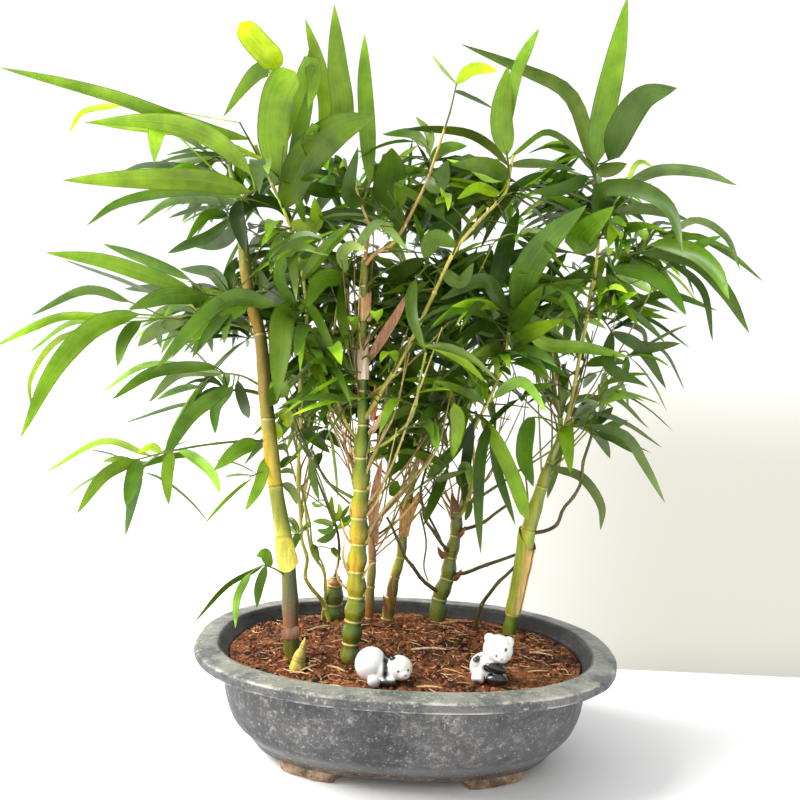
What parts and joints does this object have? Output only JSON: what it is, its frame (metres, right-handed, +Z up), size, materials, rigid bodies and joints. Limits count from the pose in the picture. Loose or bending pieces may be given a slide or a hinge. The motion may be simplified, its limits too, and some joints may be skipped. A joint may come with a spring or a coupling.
{
  "type": "potted bamboo plant",
  "caption": "Buddha belly bamboo with swollen culms and long leaf sprays, planted in an oval bonsai pot with panda figurines on the soil.",
  "frame": {"origin": "on the ground the pot stands on, at the middle of the box around the whole plant and pot, which is also below the middle of the pot", "axes": "+Z up, +X along the pot's long axis to the plant's right as seen from its front, +Y toward its back"},
  "size_m": [0.6175, 0.256, 0.6063],
  "materials": {
    "pot_glaze": "worn satin grey-blue glaze with lime stains",
    "soil": "matt fibrous coco peat",
    "figurine": "glossy white with black and brown paint",
    "culm_yellow": "satin yellow-green culm skin",
    "culm_green": "satin dark green culm skin",
    "cane": "satin pale green-brown cane",
    "cane_dark": "satin dark brown-green cane",
    "sheath": "matt dry papery sheath",
    "leaf": "satin leaf with a pale midrib"
  },
  "bodies": {
    "root": {"branch_bellied_left": "culm_green", "branch_cut_high": "cane_dark", "branch_cut_low": "cane_dark", "branch_cut_right": "cane_dark", "branch_cut_upper": "cane_dark", "branch_fan": "cane", "branch_pale": "cane", "branch_sheathed_right": "cane_dark", "branch_thin_culm": "cane", "branch_top_left": "sheath", "branch_top_right": "sheath", "cane_dark_middle": "cane_dark", "cane_foot_right": "cane_dark", "cane_golden_right": "cane", "cane_main": "cane", "cane_right_inner": "cane", "cane_slender_left": "cane", "cane_slender_middle": "cane", "culm_bellied": "culm_yellow", "culm_cut": "culm_green", "culm_middle": "culm_yellow", "culm_sheathed": "culm_green", "culm_stub": "culm_green", "culm_tall_left": "culm_yellow", "culm_thin": "culm_green", "panda_lying": "figurine", "panda_sitting": "figurine", "pot": "pot_glaze", "sheath_bellied_high": "sheath", "sheath_bellied_low": "sheath", "sheath_dry_blade": "sheath", "sheath_flare_left": "sheath", "sheath_foot_left": "sheath", "sheath_tan_middle": "sheath", "shoot": "culm_yellow", "soil": "soil", "spray_bellied_top": "leaf", "spray_centre": "leaf", "spray_centre_right": "leaf", "spray_centre_tip": "leaf", "spray_centre_top": "leaf", "spray_crown_broad": "leaf", "spray_crown_left": "leaf", "spray_crown_tall": "leaf", "spray_fan_top": "leaf", "spray_inner_right": "leaf", "spray_left_big": "leaf", "spray_left_foot": "leaf", "spray_left_hanging": "leaf", "spray_left_inner": "leaf", "spray_left_long": "leaf", "spray_left_lower": "leaf", "spray_left_middle": "leaf", "spray_pale_middle": "leaf", "spray_right_centre": "leaf", "spray_right_crown": "leaf", "spray_right_drooping": "leaf", "spray_right_low": "leaf", "spray_right_upper": "leaf", "spray_sheathed_top": "leaf"}
  },
  "joints": []
}
